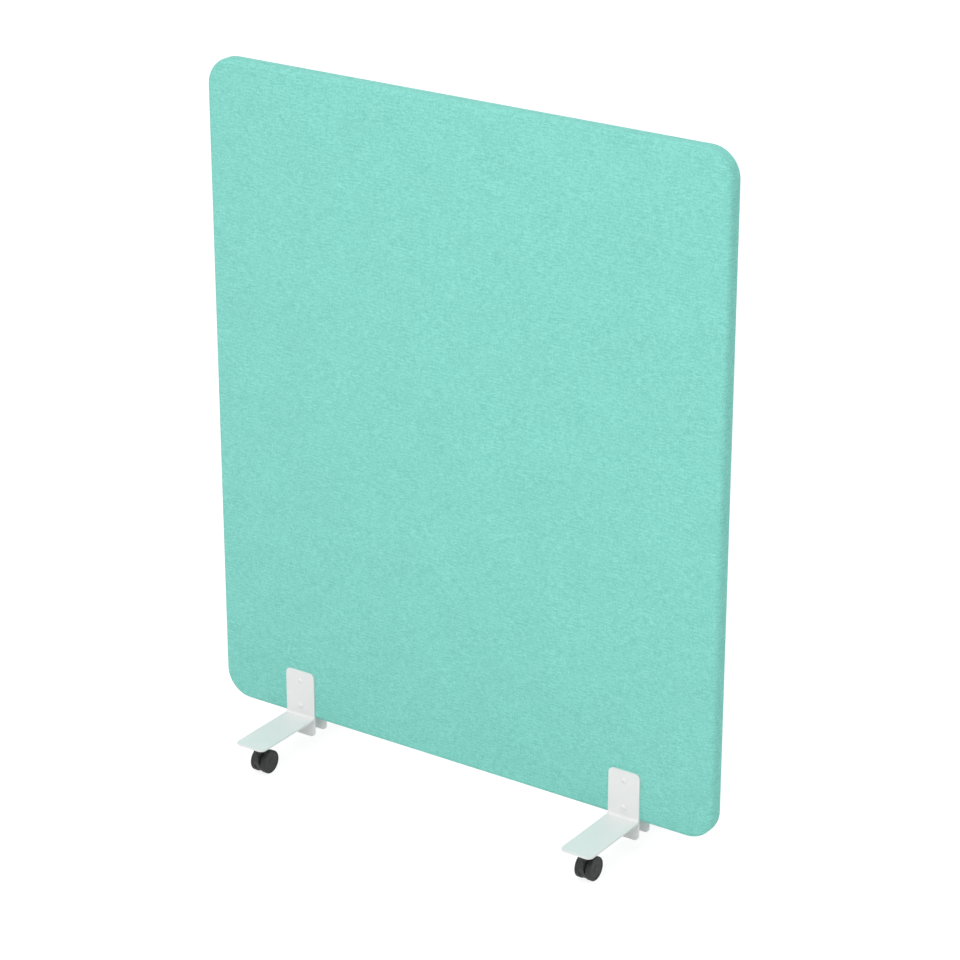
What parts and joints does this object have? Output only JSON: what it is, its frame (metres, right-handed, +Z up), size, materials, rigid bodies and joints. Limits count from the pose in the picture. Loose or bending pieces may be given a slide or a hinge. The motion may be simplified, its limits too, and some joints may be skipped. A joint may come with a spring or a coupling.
{
  "type": "acoustic divider screen",
  "caption": "Free-standing acoustic divider screen: a fabric-covered padded panel with rounded corners on steel foot brackets with twin-wheel swivel casters.",
  "frame": {"origin": "on the floor, under the middle of the panel", "axes": "+X along the panel's width, to the right seen from the front; -Y is the front; +Z up"},
  "size_m": [1.2, 0.4, 1.4751],
  "materials": {
    "fabric": "matte",
    "foam": "matte",
    "felt": "matte",
    "timber": "matte",
    "white_enamel": "satin",
    "bare_steel": "satin",
    "charcoal_nylon": "satin"
  },
  "bodies": {
    "root": {"front_cover": "fabric", "rear_cover": "fabric", "front_foam": "foam", "rear_foam": "foam", "acoustic_core": "felt", "frame_top_rail": "timber", "frame_bottom_rail": "timber", "frame_left_stile": "timber", "frame_right_stile": "timber", "frame_corner_blocks": "timber", "frame_foot_blocks": "timber", "frame_dowels": "timber", "left_foot_sleeves": "bare_steel", "right_foot_sleeves": "bare_steel", "front_left_bracket": "white_enamel", "front_left_screws": "white_enamel", "front_left_stem_boss": "white_enamel", "front_left_stem": "bare_steel", "front_left_retaining_ring": "bare_steel", "front_right_bracket": "white_enamel", "front_right_screws": "white_enamel", "front_right_stem_boss": "white_enamel", "front_right_stem": "bare_steel", "front_right_retaining_ring": "bare_steel", "rear_left_bracket": "white_enamel", "rear_left_screws": "white_enamel", "rear_left_stem_boss": "white_enamel", "rear_left_stem": "bare_steel", "rear_left_retaining_ring": "bare_steel", "rear_right_bracket": "white_enamel", "rear_right_screws": "white_enamel", "rear_right_stem_boss": "white_enamel", "rear_right_stem": "bare_steel", "rear_right_retaining_ring": "bare_steel"},
    "front_left_caster": {"front_left_caster_body": "charcoal_nylon", "front_left_axle": "bare_steel"},
    "front_left_left_roller": {"front_left_left_wheel": "charcoal_nylon"},
    "front_left_right_roller": {"front_left_right_wheel": "charcoal_nylon"},
    "front_right_caster": {"front_right_caster_body": "charcoal_nylon", "front_right_axle": "bare_steel"},
    "front_right_left_roller": {"front_right_left_wheel": "charcoal_nylon"},
    "front_right_right_roller": {"front_right_right_wheel": "charcoal_nylon"},
    "rear_left_caster": {"rear_left_caster_body": "charcoal_nylon", "rear_left_axle": "bare_steel"},
    "rear_left_left_roller": {"rear_left_left_wheel": "charcoal_nylon"},
    "rear_left_right_roller": {"rear_left_right_wheel": "charcoal_nylon"},
    "rear_right_caster": {"rear_right_caster_body": "charcoal_nylon", "rear_right_axle": "bare_steel"},
    "rear_right_left_roller": {"rear_right_left_wheel": "charcoal_nylon"},
    "rear_right_right_roller": {"rear_right_right_wheel": "charcoal_nylon"}
  },
  "joints": [
    {"name": "front_left_swivel", "type": "hinge", "parent": "root", "child": "front_left_caster", "pos_m": [-0.4, -0.169, 0.0581], "axis": [0, 0, 1], "continuous": true},
    {"name": "front_left_left_wheel_spin", "type": "hinge", "parent": "front_left_caster", "child": "front_left_left_roller", "pos_m": [-0.4, -0.148, 0.025], "axis": [1, 0, 0], "continuous": true},
    {"name": "front_left_right_wheel_spin", "type": "hinge", "parent": "front_left_caster", "child": "front_left_right_roller", "pos_m": [-0.4, -0.148, 0.025], "axis": [1, 0, 0], "continuous": true},
    {"name": "front_right_swivel", "type": "hinge", "parent": "root", "child": "front_right_caster", "pos_m": [0.4, -0.169, 0.0581], "axis": [0, 0, 1], "continuous": true},
    {"name": "front_right_left_wheel_spin", "type": "hinge", "parent": "front_right_caster", "child": "front_right_left_roller", "pos_m": [0.4, -0.148, 0.025], "axis": [1, 0, 0], "continuous": true},
    {"name": "front_right_right_wheel_spin", "type": "hinge", "parent": "front_right_caster", "child": "front_right_right_roller", "pos_m": [0.4, -0.148, 0.025], "axis": [1, 0, 0], "continuous": true},
    {"name": "rear_left_swivel", "type": "hinge", "parent": "root", "child": "rear_left_caster", "pos_m": [-0.4, 0.169, 0.0581], "axis": [0, 0, 1], "continuous": true},
    {"name": "rear_left_left_wheel_spin", "type": "hinge", "parent": "rear_left_caster", "child": "rear_left_left_roller", "pos_m": [-0.4, 0.148, 0.025], "axis": [1, 0, 0], "continuous": true},
    {"name": "rear_left_right_wheel_spin", "type": "hinge", "parent": "rear_left_caster", "child": "rear_left_right_roller", "pos_m": [-0.4, 0.148, 0.025], "axis": [1, 0, 0], "continuous": true},
    {"name": "rear_right_swivel", "type": "hinge", "parent": "root", "child": "rear_right_caster", "pos_m": [0.4, 0.169, 0.0581], "axis": [0, 0, 1], "continuous": true},
    {"name": "rear_right_left_wheel_spin", "type": "hinge", "parent": "rear_right_caster", "child": "rear_right_left_roller", "pos_m": [0.4, 0.148, 0.025], "axis": [1, 0, 0], "continuous": true},
    {"name": "rear_right_right_wheel_spin", "type": "hinge", "parent": "rear_right_caster", "child": "rear_right_right_roller", "pos_m": [0.4, 0.148, 0.025], "axis": [1, 0, 0], "continuous": true}
  ]
}
